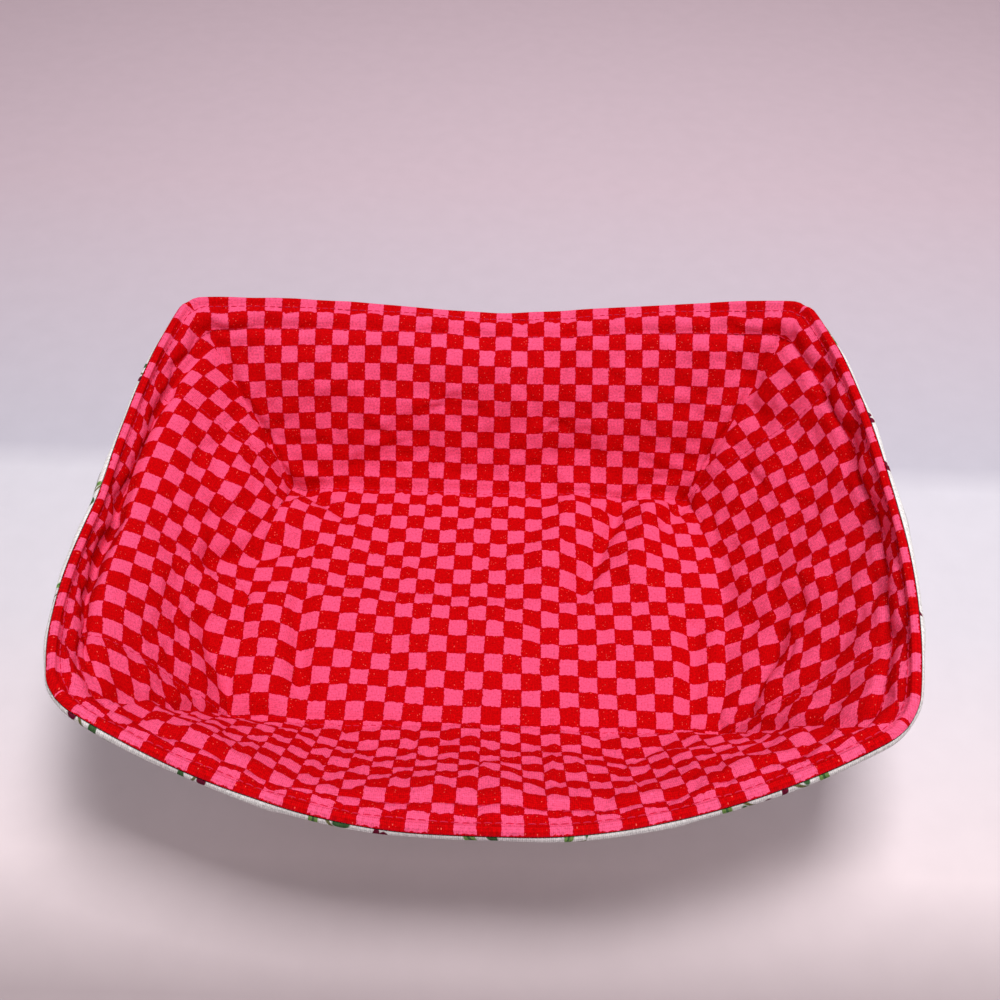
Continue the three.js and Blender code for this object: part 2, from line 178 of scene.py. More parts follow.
def tucked(share, t):
    """Way up the left wall's section, and depth in its tuck, of a place on the flat cloth."""
    shown = short_slant - 2 * TUCK_DEPTH
    end = 1 - (INNER_STITCH_INSET - HEM) / short_slant
    middle = end - TUCK_DEPTH / short_slant
    above = t * short_slant - middle * short_slant  # negative on the roll's side of the tuck
    gap = TUCK_GAP / 2 * np.clip(above / TUCK_DEPTH, -1, 1)
    way = middle * short_slant - TUCK_DEPTH + gap + above - np.clip(above, -TUCK_DEPTH, TUCK_DEPTH)
    depth = np.maximum(TUCK_DEPTH - np.abs(above), 0)
    amount = 1 - np.abs(share) ** TUCK_POWER
    return t + (np.clip(way / shown, 0, 1) - t) * amount, depth * amount


def wall_place(wall, across, t):
    """Places on the lining's face: across is the flat distance from the wall's middle line."""
    side, long_wall = SIDES[wall], wall in LONG_WALLS
    share = across / ((dart_u if long_wall else dart_v) + DART_SPREAD * t)
    t, depth = tucked(share, t) if wall == "left" else (t, 0)
    out, up = (np.interp(t, steps, line) for line in sections[wall])
    toe, axis = (dart_v, 1) if long_wall else (dart_u, 0)
    low, high = (dart_seam(*((end, side) if long_wall else (side, end)), t) for end in (-1, 1))
    end = np.where(share[:, None] < 0, low, high)
    middle = side * (toe + out)
    place = low + (high - low) * (share[:, None] + 1) / 2
    place[:, axis] = middle + (end[:, axis] - middle) * np.abs(share) ** TURN_POWER
    place[:, 2] = up + (end[:, 2] - up) * np.abs(share) ** RISE_POWER
    place[:, 2] += TOE_RAISE[wall] * (1 - share**2) - depth * math.sin(TUCK_SLOPE)
    place[:, axis] += side * depth * math.cos(TUCK_SLOPE)
    place[:, 0] += drawn_in(*((share, side + 0 * t) if long_wall else (side + 0 * t, share)), t)
    return place


print("the left wall's tuck hides", round(2000 * TUCK_DEPTH, 1), "mm of cloth")

# %% [markdown]
# ## A fine cloth mesh
# The cloth needs a point about every millimetre and a half to fold well. The points lie on
# straight grid lines along the weave, which a remesher would not keep. Rows are placed so that
# every line of stitching runs along mesh points.

# %% Rows and columns of the cloth
FLOOR_COLUMNS, FLOOR_ROWS = 112, 72
LOWER_ROWS, BAND_ROWS, EDGE_ROWS = 46, 7, 2  # below, between and above the topstitching
columns = np.linspace(-dart_u, dart_u, FLOOR_COLUMNS + 1)
rows = np.linspace(-dart_v, dart_v, FLOOR_ROWS + 1)
spacing = columns[1] - columns[0]
inner_rise = 1 - (INNER_STITCH_INSET - HEM) / long_slant
edge_rise = 1 - (EDGE_STITCH_INSET - HEM) / long_slant
rises = np.concatenate([
    np.linspace(0, inner_rise, LOWER_ROWS + 1),
    np.linspace(inner_rise, edge_rise, BAND_ROWS + 1)[1:],
    np.linspace(edge_rise, 1, EDGE_ROWS + 1)[1:],
])
INNER_ROW, EDGE_ROW, RIM_ROW = LOWER_ROWS, LOWER_ROWS + BAND_ROWS, len(rises) - 1
print(len(rises), "rows up a wall, and", len(columns), "by", len(rows), "points in the floor")

# %% [markdown]
# Every mesh point has three places: in the bowl, in the flat cut and in a plain tray. The tray
# is the same cloth with flat, evenly leaning walls. Nothing in it is stretched or slack, so it
# later tells the cloth solver how long each thread really is.

# %% Floor of the cloth
BEND_START = 0.030  # from the floor's middle to where it starts to bend up to the short walls


class Cloth:
    """Mesh points with their place in the bowl, in the flat cut and in the plain tray."""

    def __init__(self):
        self.place, self.flat, self.tray, self.wall, self.rise = [], [], [], [], []

    def add(self, place, flat, tray, wall, rise):
        first = len(self.place)
        for store, values in zip((self.place, self.flat, self.tray, self.rise), (place, flat, tray, rise)):
            store.extend(values)
        self.wall.extend([wall] * len(place))
        return list(range(first, len(self.place)))


cloth = Cloth()
floor_points = []
for v in rows:
    flat = np.column_stack([columns, np.full(len(columns), v)])
    tray = np.column_stack([flat, np.zeros(len(flat))])
    bend = np.clip((np.abs(columns) - BEND_START) / (dart_u - BEND_START), 0, 1)
    bend = bend**2 * (3 - 2 * bend) * (1 - (v / dart_v) ** 2)
    place = tray.copy()
    place[:, 2] = bend * np.where(columns < 0, TOE_RAISE["left"], TOE_RAISE["right"])
    place[:, 0] += drawn_in(columns / dart_u, np.full(len(columns), v / dart_v), 0)
    floor_points.append(cloth.add(place, flat, tray, "floor", np.zeros(len(flat))))
print(len(cloth.place), "points in the floor,", round(1000 * spacing, 2), "mm apart")

# %% [markdown]
# A wall widens from the floor to the rim, so its rows get extra points in the fans beside the
# darts. The two walls at a dart share the points of its seam, as sewn cloth does. A maker trims
# the rim's corners a little round before turning the cozy, so the rows dip there.

# %% Rows of the walls
CORNER_TRIM = {"far": 0.016, "near": 0.036}  # share of the wall that a rim corner is rounded by
TRIM_RUN = 2.6  # length of the rounding, in depths of the trim
tray_rise = math.sqrt(long_slant * short_slant - DART_SPREAD**2)


def tray_place(wall, flat, t):
    place = np.column_stack([flat, tray_rise * t])
    axis, toe = (1, dart_v) if wall in LONG_WALLS else (0, dart_u)
    place[:, axis] = SIDES[wall] * (toe + DART_SPREAD * t)
    return place


def row_across(wall, lines, point, t):
    """Flat distances across one wall row, and how far up the wall each of its points lies."""
    trims = [CORNER_TRIM[end] for end in ((wall, wall) if wall in LONG_WALLS else ("near", "far"))]
    legs = [DART_SPREAD * t * (1 - trim) for trim in trims]
    low, high = (point + leg * np.linspace(0, 1, max(1, round(leg / spacing)) + 1)[1:] for leg in legs)
    across = np.concatenate([-low[::-1], lines, high])
    trim, leg = (np.where(across < 0, *ends) for ends in (trims, legs))
    from_corner = (point + leg - np.abs(across)) / (TRIM_RUN * trim * long_slant)
    return across, t * (1 - trim * np.clip(1 - from_corner, 0, 1) ** 2)


wall_points = {  # mesh points of every row of a wall
    "far": [floor_points[-1]],
    "near": [floor_points[0]],
    "left": [[row[0] for row in floor_points]],
    "right": [[row[-1] for row in floor_points]],
}
wall_flats = {wall: [np.array([cloth.flat[p] for p in wall_points[wall][0]])] for wall in wall_points}
for wall in wall_points:
    long_wall = wall in LONG_WALLS
    lines, point, toe = (columns, dart_u, dart_v) if long_wall else (rows, dart_v, dart_u)
    slant = long_slant if long_wall else short_slant
    for k in range(1, RIM_ROW + 1):
        across, t = row_across(wall, lines, point, rises[k])
        along = SIDES[wall] * (toe + slant * t)
        flat = np.column_stack([across, along] if long_wall else [along, across])
        level = np.full(len(across), rises[k])
        made = (wall_place(wall, across, t), flat, tray_place(wall, flat, t), wall, level)
        wall_flats[wall].append(flat)
        if long_wall:
            wall_points[wall].append(cloth.add(*made))
            continue
        inside = cloth.add(*(m if isinstance(m, str) else m[1:-1] for m in made))
        end = 0 if wall == "left" else -1
        wall_points[wall].append([wall_points["near"][k][end], *inside, wall_points["far"][k][end]])

places, flats, trays, rise = (np.array(v) for v in (cloth.place, cloth.flat, cloth.tray, cloth.rise))
on_wall = {wall: np.array([w == wall for w in cloth.wall]) for wall in WALL_ANGLES}
print(len(places), "cloth points in all")

# %% [markdown]
# Between two rows the faces are squares where the grid lines meet and triangles in the fans.
# Each face corner keeps its own flat place, because the print breaks at a dart: there one mesh
# point belongs to two different places of the flat cloth.

# %% Faces of the cloth
SAME_PLACE = 1e-9
faces, corner_flats = [], []


def add_strip(lower, upper, lower_flat, upper_flat, axis, flip):
    """Faces between two rows, made by walking along both of them at once."""
    a, b = 0, 0
    while a + 1 < len(lower) or b + 1 < len(upper):
        next_a = lower_flat[a + 1][axis] if a + 1 < len(lower) else math.inf
        next_b = upper_flat[b + 1][axis] if b + 1 < len(upper) else math.inf
        face = [(lower[a], lower_flat[a])]
        level = abs(lower_flat[a][axis] - upper_flat[b][axis]) < SAME_PLACE
        square = level and abs(next_a - next_b) < SAME_PLACE
        step_a, step_b = square or next_a <= next_b, square or next_b < next_a
        if step_a:
            a += 1
            face.append((lower[a], lower_flat[a]))
        if step_b:
            face.append((upper[b + 1], upper_flat[b + 1]))
        face.append((upper[b], upper_flat[b]))
        b += step_b
        face = face[::-1] if flip else face
        faces.append([point for point, _ in face])
        corner_flats.extend(flat for _, flat in face)


for r in range(FLOOR_ROWS):
    low, high = (flats[floor_points[r + n]] for n in (0, 1))
    add_strip(floor_points[r], floor_points[r + 1], low, high, 0, False)
for wall in wall_points:
    axis = 0 if wall in LONG_WALLS else 1
    for k in range(RIM_ROW):
        add_strip(wall_points[wall][k], wall_points[wall][k + 1], wall_flats[wall][k],
                  wall_flats[wall][k + 1], axis, wall in ("near", "right"))
print(len(faces), "faces")

# %% [markdown]
# The next steps move every point along the cloth's normal, or toward its neighbours. Both are
# done for all points at once on plain arrays, because a loop over Blender's own vertices would
# take minutes. A ring is one row followed once round all four walls.

# %% Neighbours, normals and rings
triangles = np.array([(f[0], f[k], f[k + 1]) for f in faces for k in range(1, len(f) - 1)])
sides = np.concatenate([triangles[:, [0, 1]], triangles[:, [1, 2]], triangles[:, [2, 0]]])
edges = np.unique(np.sort(sides), axis=0)
degree = np.bincount(edges.ravel(), minlength=len(places))


def row_ring(k):
    """Mesh points of one wall row as a closed ring, counterclockwise from above."""
    near, right, far, left = (wall_points[w][k] for w in ("near", "right", "far", "left"))
    return near[:-1] + right[:-1] + far[:0:-1] + left[:0:-1]


def point_normals(where):
    a, b, c = (where[triangles[:, k]] for k in range(3))
    face_normal = np.cross(b - a, c - a)
    total = np.zeros_like(where)
    for k in range(3):
        for axis in range(3):
            total[:, axis] += np.bincount(triangles[:, k], face_normal[:, axis], len(where))
    return total / np.linalg.norm(total, axis=1, keepdims=True)


def smoothed(values, rounds):
    """Each round moves every point halfway to the mean of its neighbours."""
    values = values.copy()
    for _ in range(rounds):
        total = np.zeros_like(values)
        for axis in range(values.shape[1]):
            total[:, axis] = np.bincount(edges[:, 0], values[edges[:, 1], axis], len(values))
            total[:, axis] += np.bincount(edges[:, 1], values[edges[:, 0], axis], len(values))
        values += 0.5 * (total / degree[:, None] - values)
    return values


print(len(edges), "edges, about", round(degree.mean(), 1), "at a point")

# %% [markdown]
# ## Padding, stitching and folds
# Stitching draws the padded cloth in along its line, and the padding stands full between the
# lines. Topstitching pulls hardest, because it goes through both fabrics and both battings. Each
# furrow is a bell curve across its line, added to one lift that later moves the cloth.

# %% Furrows along the stitching
QUILT_FURROW, QUILT_REACH = 0.0009, 0.0032
STITCH_FURROW, STITCH_REACH = 0.0016, 0.0019
RIM_DRAW, RIM_REACH = 0.0009, 0.0014
DART_FURROW, DART_REACH = 0.0014, 0.0024
DART_FULL = 0.25  # share of the wall after which a dart's furrow is full
FAR_AWAY = 1.0  # distance of what has no such line near it

on_long = on_wall["far"] | on_wall["near"]
slants = np.where(on_long, long_slant, short_slant)
from_edge = np.where(rise > 0, HEM + (1 - rise) * slants, FAR_AWAY)
below_band = np.clip((from_edge - INNER_STITCH_INSET) / STITCH_REACH, 0, 1)
quilt_lines = (-dart_v, 0.0, dart_v)


def bell(distance, reach):
    return np.exp(-((distance / reach) ** 2))


def dart_distance():
    """Flat distance of a wall point from the nearest dart's leg."""
    u, v = np.abs(flats[:, 0]), np.abs(flats[:, 1])
    on_long_wall = dart_u + DART_SPREAD * (v - dart_v) / long_slant - u
    on_short_wall = dart_v + DART_SPREAD * (u - dart_u) / short_slant - v
    return np.where(rise > 0, np.abs(np.where(on_long, on_long_wall, on_short_wall)), FAR_AWAY)


def quilt_bells():
    """Nearness to a quilting line. The lines stop at the inner topstitching."""
    return sum(bell(flats[:, 1] - line, QUILT_REACH) for line in quilt_lines) * below_band * ~on_long


off_dart = dart_distance()
at_quilting = np.where(on_long, bell(np.abs(flats[:, 1]) - dart_v, QUILT_REACH), quilt_bells())
lift = -QUILT_FURROW * at_quilting
for inset in (EDGE_STITCH_INSET, INNER_STITCH_INSET):
    lift -= STITCH_FURROW * bell(from_edge - inset, STITCH_REACH)
lift -= RIM_DRAW * bell(from_edge - HEM, RIM_REACH)
lift -= DART_FURROW * bell(off_dart, DART_REACH) * np.minimum(1, rise / DART_FULL) * below_band
print("stitching draws the cloth in by up to", round(-1000 * lift.min(), 1), "mm")

# %% [markdown]
# The large folds come where a dart ends and where the floor has cloth to spare. Each runs from
# one flat place to another, in millimetres from the middle of the cloth, and swells or dips by
# its height. Small uneven waves on top of them keep any stretch from looking ironed.

# %% Large folds
MM = 0.001
FOLDS = [
    # start, end, half width, height, where it lies
    ((-60, -8), (0, -14), 14, 4.0, "floor"),  # long swell across the near left of the floor
    ((50, 48), (34, 6), 4.0, -3.6, "floor"),  # slanting furrow right of the floor's middle
    ((62, 42), (52, 14), 8.0, 5.0, "floor"),  # and the ridges beside it
    ((32, 42), (22, 18), 9.0, 4.4, "floor"),
    ((-100, 34), (-78, 32), 11, 6.0, "any"),  # puffed patch beside the far left dart point
    ((-98, 3), (-71, 20), 5.5, -4.2, "any"),  # and the hollow in front of it
    ((-77, 52), (-54, 36), 3.5, -3.2, "floor"),  # pinch that runs on from the dart point
    ((-65, -6), (-61, -40), 4.0, -3.4, "floor"),  # crease before the near left corner
    ((-77, -14), (-72, -42), 8.0, 3.4, "any"),  # and the ridge behind it
    ((-96, -24), (-84, -44), 6.0, -3.0, "left"),  # crease low in the left wall
    ((72, -10), (71, -42), 4.5, -3.0, "any"),  # crease at the foot of the right wall
    ((80, 50), (66, 36), 4.0, -2.8, "floor"),  # pinch by the far right dart point
    ((94, -46), (102, -26), 5.0, -3.2, "right"),  # creases low in the right wall
    ((92, -14), (112, -16), 6.0, -2.2, "right"),
    ((0, -72), (0, -108), 18, 2.6, "near"),  # swell down the middle of the near wall
    ((-46, -72), (-46, -104), 12, -2.4, "near"),  # and a hollow on each side of it
    ((46, -72), (46, -104), 12, -2.4, "near"),
    ((28, 118), (20, 60), 6.0, -1.8, "far"),  # soft crease down the far wall
]
WAVE_HEIGHT, WAVE_PACE = 0.0013, 45
FORM_ROUNDS = 4  # of smoothing, before the normals are read
regions = {"floor": rise == 0, "any": rise >= 0, **on_wall}


def fold_lift(start, end, half_width, height, where):
    a, b = MM * np.array(start, float), MM * np.array(end, float)
    along = b - a
    share = np.clip(((flats - a) @ along) / (along @ along), 0, 1)
    distance = np.linalg.norm(flats - (a + share[:, None] * along), axis=1)
    return MM * height * bell(distance, MM * half_width) * regions[where]


def uneven(height, pace):
    """Small uneven waves, pace of them to the metre, which die out at the rim."""
    waves = [noise.noise((pace * u, pace * v, pace)) for u, v in flats]
    return height * np.array(waves) * np.clip((from_edge - HEM) / EDGE_STITCH_INSET, 0, 1)


for fold in FOLDS:
    lift += fold_lift(*fold)
lift += uneven(WAVE_HEIGHT, WAVE_PACE)
start_places = places + lift[:, None] * point_normals(smoothed(places, FORM_ROUNDS))
print("folds and furrows reach from", round(1000 * lift.min(), 1), "to", round(1000 * lift.max(), 1), "mm")

# %% [markdown]
# ## Letting the cloth settle
# The cut pieces are a little larger than the form they are sewn to, so real cloth puckers
# between its seams. Before a solver can find those puckers, it has to know what holds the cloth.
# Seams hold a point fully, quilting less, and the padding only loosely.

# %% What holds each point
SEWN, QUILTED, LOOSE = 1.0, 0.7, 0.2
ON_QUILTING = 0.97  # nearness that counts as on the line
SEAM_HALF_WIDTH, STITCH_HALF_WIDTH = 0.0004, 0.0006
ROLL_START = 0.55  # share of the left wall below its roll
hold = np.full(len(places), LOOSE)
hold[at_quilting > ON_QUILTING] = QUILTED
hold[(off_dart < SEAM_HALF_WIDTH) | (from_edge < HEM + SEAM_HALF_WIDTH)] = SEWN
for inset in (EDGE_STITCH_INSET, INNER_STITCH_INSET):
    hold[np.abs(from_edge - inset) < STITCH_HALF_WIDTH] = SEWN
hold[on_wall["left"] & (rise > ROLL_START) & (from_edge > INNER_STITCH_INSET)] = SEWN  # the tuck
print("of", len(hold), "points", (hold == SEWN).sum(), "are sewn and", (hold == QUILTED).sum(), "quilted")

# %% [markdown]
# Blender's cloth solver then lets the lining settle for a few frames. The plain tray is its rest
# shape, a little enlarged, and a slight pressure stands for the padding. The solver is made for
# pieces of about a metre, so the cloth is scaled up for it. Sculpted wrinkles would be quicker,
# but they would not know where the cloth has length to spare. Fine uneven puckers come on top.

# %% Cloth simulation
SIM_SCALE, SIM_FRAMES, SIM_QUALITY = 10, 24, 5
SPARE_CLOTH = 0.03  # share that the cloth is longer than its pattern
THREAD_STIFFNESS, SHEAR_STIFFNESS, BENDING_STIFFNESS = 20, 8, 0.4
PADDING_PRESSURE = 0.4
FARTHEST_MOVE = 0.006
PUCKERS = ((0.001, 80), (0.0004, 170))  # height, and how many to the metre


def settling_body(start):
    """The cloth as a Blender object that starts in the bowl and wants the tray's lengths."""
    mesh = bpy.data.meshes.new("settling")
    mesh.from_pydata((start * SIM_SCALE).tolist(), [], faces)
    body = bpy.data.objects.new("settling", mesh)
    bpy.context.collection.objects.link(body)
    body.shape_key_add(name="bowl")
    tray = body.shape_key_add(name="tray")
    tray.data.foreach_set("co", (trays * SIM_SCALE).ravel())
    tray.value = 0
    group = body.vertex_groups.new(name="hold")
    for weight in np.unique(hold):
        group.add(np.flatnonzero(hold == weight).tolist(), float(weight), "REPLACE")
    modifier = body.modifiers.new("cloth", "CLOTH")
    settings = modifier.settings
    settings.quality = SIM_QUALITY
    settings.vertex_group_mass = "hold"
    settings.rest_shape_key = tray
    settings.shrink_min = settings.shrink_max = -SPARE_CLOTH
    settings.tension_stiffness = settings.compression_stiffness = THREAD_STIFFNESS
    settings.shear_stiffness = SHEAR_STIFFNESS
    settings.bending_stiffness = BENDING_STIFFNESS
    settings.effector_weights.gravity = 0
    settings.use_pressure = True
    settings.uniform_pressure_force = PADDING_PRESSURE
    modifier.point_cache.frame_start, modifier.point_cache.frame_end = 1, SIM_FRAMES
    return body


def settle(start):
    body = settling_body(start)
    for number in range(1, SIM_FRAMES + 1):
        bpy.context.scene.frame_set(number)
    settled = body.evaluated_get(bpy.context.evaluated_depsgraph_get()).to_mesh()
    result = np.empty(3 * len(start))
    settled.vertices.foreach_get("co", result)
    bpy.context.scene.frame_set(1)
    mesh = body.data
    bpy.data.objects.remove(body)
    bpy.data.meshes.remove(mesh)
    move = result.reshape(-1, 3) / SIM_SCALE - start
    length = np.linalg.norm(move, axis=1, keepdims=True)
    print("settling moves a point by", (1000 * np.percentile(length, [50, 90, 100])).round(2), "mm")
    return start + move * np.minimum(1, FARTHEST_MOVE / np.maximum(length, SAME_PLACE))


lining_places = settle(start_places)
puckers = sum(uneven(*size) for size in PUCKERS)
lining_places = lining_places + puckers[:, None] * point_normals(lining_places)

# %% [markdown]
# ## The outer piece
# The outer piece is the same cloth seen from outside, one thickness of padding away. It follows
# a smoothed copy of the lining, because wrinkles of one face do not print through the padding.
# The layers are thinner along the stitching and at the rim. Its floor lies flat on the table.

# %% Outer face
RIM_THICKNESS = 0.0042
OUTER_PUFF = 0.0006
QUILT_THINNING, STITCH_THINNING = 0.0015, 0.0011
NORMAL_ROUNDS, FACE_ROUNDS = 24, 12  # of smoothing

thickness = STACK + OUTER_PUFF - QUILT_THINNING * at_quilting
for inset in (EDGE_STITCH_INSET, INNER_STITCH_INSET):
    thickness -= STITCH_THINNING * bell(from_edge - inset, STITCH_REACH)
thickness -= (STACK - RIM_THICKNESS) * np.clip(1 - from_edge / INNER_STITCH_INSET, 0, 1)
ring = row_ring(RIM_ROW)


def outer_from(lining):
    normals = point_normals(smoothed(lining, NORMAL_ROUNDS))
    outer = smoothed(lining, FACE_ROUNDS) - thickness[:, None] * normals
    outer[ring] = lining[ring] - RIM_THICKNESS * normals[ring]
    outer[:, 2] = np.maximum(outer[:, 2], -STACK)
    return outer


outer_places = outer_from(lining_places)
print("layers are", (1000 * np.array([thickness.min(), thickness.max()])).round(1), "mm thick")

# %% [markdown]
# ## Turned edges
# At the rim both fabrics turn inward and meet in a seam along the middle of the edge. Each makes
# a quarter roll from its face to that seam. A bevel would round the edge too, but it would give
# the roll no print. The way out of the cloth is evened round the rim, so the roll runs smoothly.

# %% Rolled edges
SEAM_GAP = 0.00012  # each fabric stops this short of the seam's middle
ROLL_STEPS = 4
EVEN_ROUNDS = 12


def ring_below(face_places):
    """For each rim point, the place on the edge stitching that lies straight down the wall."""
    lower, upper = face_places[row_ring(EDGE_ROW)], face_places[ring]
    nearest = ((upper[:, None, :] - lower[None, :, :]) ** 2).sum(2).argmin(1)
    return lower[nearest]


def evened(values):
    """Values round the rim, each round mixed with their two neighbours."""
    for _ in range(EVEN_ROUNDS):
        values = (np.roll(values, 1, 0) + 2 * values + np.roll(values, -1, 0)) / 4
    return values


def rolled_edge(face_places, other_places):
    """Rings that turn a face's rim over the edge to the seam in the middle of it."""
    face_rim = face_places[ring]
    across = (other_places[ring] - face_rim) / 2
    radius = np.linalg.norm(across, axis=1, keepdims=True)
    outward = evened(face_rim - ring_below(face_places))
    outward -= across * (outward * across).sum(1, keepdims=True) / radius**2
    outward /= np.linalg.norm(outward, axis=1, keepdims=True)
    last = math.pi / 2 - SEAM_GAP / radius.mean()
    turns = last * np.arange(1, ROLL_STEPS + 1) / ROLL_STEPS
    return [face_rim + across * (1 - math.cos(a)) + outward * HEM * math.sin(a) for a in turns]


lining_roll = rolled_edge(lining_places, outer_places)
outer_roll = rolled_edge(outer_places, lining_places)
rim_length = np.linalg.norm(lining_places[ring] - np.roll(lining_places[ring], 1, 0), axis=1).sum()
print("the rim is", round(1000 * rim_length, 1), "mm round")

# %% [markdown]
# ## The two fabrics
# Both fabrics are made by the same steps: points, faces with the print's coordinates, and the
# roll. The coordinates count printed squares from the middle of the flat cut, so the check stays
# square on the cloth however it folds. The outer piece is turned inside out, so that its right
# side faces away from the bowl.

# %% Cloth sheets
rim_segments = []  # ring position and its next, with their flat places and the way out of the cloth
for wall in ("near", "right", "far", "left"):
    flat = wall_flats[wall][RIM_ROW]
    flat = flat if wall in ("near", "right") else flat[::-1]
    way = np.array([0, SIDES[wall]] if wall in LONG_WALLS else [SIDES[wall], 0])
    for k in range(len(flat) - 1):
        first = len(rim_segments)
        rim_segments.append((first, (first + 1) % len(ring), flat[k], flat[k + 1], way))


def new_piece(name, points, polygons):
    mesh = bpy.data.meshes.new(name)
    mesh.from_pydata(np.asarray(points).tolist(), [], polygons)
    mesh.polygons.foreach_set("use_smooth", [True] * len(mesh.polygons))
    mesh.update()
    piece = bpy.data.objects.new(name, mesh)
    bpy.context.collection.objects.link(piece)
    piece.location = FLOOR_CENTRE
    return piece


def cloth_piece(name, face_places, rolls, inside_out):
    """A sheet of cloth with its turned edge. UVs count printed squares from the middle."""
    polygons, uvs = [list(f) for f in faces], list(corner_flats)
    starts = [len(places) + n * len(ring) for n in range(ROLL_STEPS)]
    rings = [ring] + [list(range(start, start + len(ring))) for start in starts]
    for n in range(ROLL_STEPS):
        low, high = (HEM * (n + m) / ROLL_STEPS for m in (0, 1))
        for k, m, flat_k, flat_m, way in rim_segments:
            polygons.append([rings[n][k], rings[n + 1][k], rings[n + 1][m], rings[n][m]])
            uvs.extend((flat_k + low * way, flat_k + high * way, flat_m + high * way, flat_m + low * way))
    uvs = np.array(uvs)
    if inside_out:
        starts = np.cumsum([0] + [len(p) for p in polygons])
        order = np.concatenate([np.arange(b - 1, a - 1, -1) for a, b in zip(starts[:-1], starts[1:])])
        polygons, uvs = [p[::-1] for p in polygons], uvs[order]
    piece = new_piece(name, np.concatenate([face_places, *rolls]), polygons)
    layer = piece.data.uv_layers.new(name="flat_cloth")
    layer.data.foreach_set("uv", (uvs / CHECK).ravel())
    print(name, len(piece.data.vertices), "points,", [round(1000 * d, 1) for d in piece.dimensions], "mm")
    return piece


lining_sheet = cloth_piece("lining_cloth", lining_places, lining_roll, False)
outer_sheet = cloth_piece("outer_cloth", outer_places, outer_roll, True)

# %% [markdown]
# ## Batting
# Each fabric is backed with its own layer of batting. Both lie hidden between the two sheets,
# as two thin closed pads that meet in the middle. They need no fine mesh, so they are thinned.

# %% Batting pads
PAD_CLEARANCE = 0.0012
PAD_GAP = 0.0002  # from a pad to the middle between the two fabrics
PAD_DETAIL = 0.1  # share of the faces that is kept


def pad_piece(name, upper, lower):
    count = len(places)
    polygons = [list(f) for f in faces] + [[p + count for p in reversed(f)] for f in faces]
    for k in range(len(ring)):
        a, b = ring[k], ring[(k + 1) % len(ring)]
        polygons.append([b, a, a + count, b + count])
    piece = new_piece(name, np.concatenate([upper, lower]), polygons)
    thin = piece.modifiers.new("thin", "DECIMATE")
    thin.ratio = PAD_DETAIL
    coarse = bpy.data.meshes.new_from_object(piece.evaluated_get(bpy.context.evaluated_depsgraph_get()))
    piece.modifiers.clear()
    piece.data = coarse
    print(name, len(coarse.polygons), "faces")
    return piece


through = outer_places - lining_places
inward = through / np.linalg.norm(through, axis=1, keepdims=True)
lining_pad = pad_piece("lining_pad", lining_places + inward * PAD_CLEARANCE,
                       lining_places + through / 2 - inward * PAD_GAP)
outer_pad = pad_piece("outer_pad", lining_places + through / 2 + inward * PAD_GAP,
                      outer_places - inward * PAD_CLEARANCE)

# %% [markdown]
# ## Stitches
# A sewing machine leaves a row of short thread loops that dive into the cloth at both ends. One
# loop is a thin tube that is swept along six stations. A curve with a bevel could make it too, but
# a plain mesh lets one row be one piece, with every loop on the cloth's own surface.

# %% One row of stitches
STITCH_LENGTH, STITCH_PITCH = 0.0023, 0.0028
THREAD_RADIUS = 0.00016
STITCH_SHARES = np.array([0, 0.12, 0.35, 0.65, 0.88, 1])
STITCH_HEIGHTS = np.array([-0.9, 0.3, 0.8, 0.8, 0.3, -0.9])  # in thread radii above the cloth
STITCH_GIRTHS = np.array([0.6, 0.9, 1, 1, 0.9, 0.6])
THREAD_SIDES = 6


def stitch_faces(count):
    """Side faces and the two end caps of every loop in a row."""
    polygons = []
    for n in range(count):
        base = n * len(STITCH_SHARES) * THREAD_SIDES
        for s in range(len(STITCH_SHARES) - 1):
            low, high = base + s * THREAD_SIDES, base + (s + 1) * THREAD_SIDES
            for m in range(THREAD_SIDES):
                q = (m + 1) % THREAD_SIDES
                polygons.append([low + m, low + q, high + q, high + m])
        polygons.append(list(range(base + THREAD_SIDES - 1, base - 1, -1)))
        end = base + (len(STITCH_SHARES) - 1) * THREAD_SIDES
        polygons.append(list(range(end, end + THREAD_SIDES)))
    return polygons


def stitch_piece(name, path, ups, closed, sunk=0):
    """A row of loops along a path of places, each with the way up from the cloth there."""
    if closed:
        path, ups = np.vstack([path, path[:1]]), np.vstack([ups, ups[:1]])
    run = np.concatenate([[0], np.cumsum(np.linalg.norm(np.diff(path, axis=0), axis=1))])
    count = max(1, round(run[-1] / STITCH_PITCH))
    pitch = run[-1] / count
    stations = pitch * (np.arange(count)[:, None] + 0.5) + STITCH_LENGTH * (STITCH_SHARES - 0.5)
    at = np.stack([np.interp(stations, run, path[:, a]) for a in range(3)], -1)
    up = np.stack([np.interp(stations, run, ups[:, a]) for a in range(3)], -1)
    along = np.gradient(at, axis=1)
    along /= np.linalg.norm(along, axis=2, keepdims=True)
    side = np.cross(along, up)
    side /= np.linalg.norm(side, axis=2, keepdims=True)
    up = np.cross(side, along)
    centre = at + up * (THREAD_RADIUS * STITCH_HEIGHTS - sunk)[None, :, None]
    girth = (THREAD_RADIUS * STITCH_GIRTHS)[None, :, None, None]
    angle = 2 * math.pi * np.arange(THREAD_SIDES) / THREAD_SIDES
    tube = np.cos(angle)[:, None] * side[:, :, None] + np.sin(angle)[:, None] * up[:, :, None]
    points = (centre[:, :, None] + girth * tube).reshape(-1, 3)
    return new_piece(name, points, stitch_faces(count))


print("a stitch is", 1000 * STITCH_LENGTH, "mm long, and they are about", 1000 * STITCH_PITCH, "mm apart")

# %% [markdown]
# The cozy has two rows of topstitching round its rim, three lines of quilting on each fabric,
# four darts in each fabric and the hidden seam of the rim. Every row follows mesh points that
# were placed for it. The needle's thread shows on the lining and the bobbin's on the outer face.

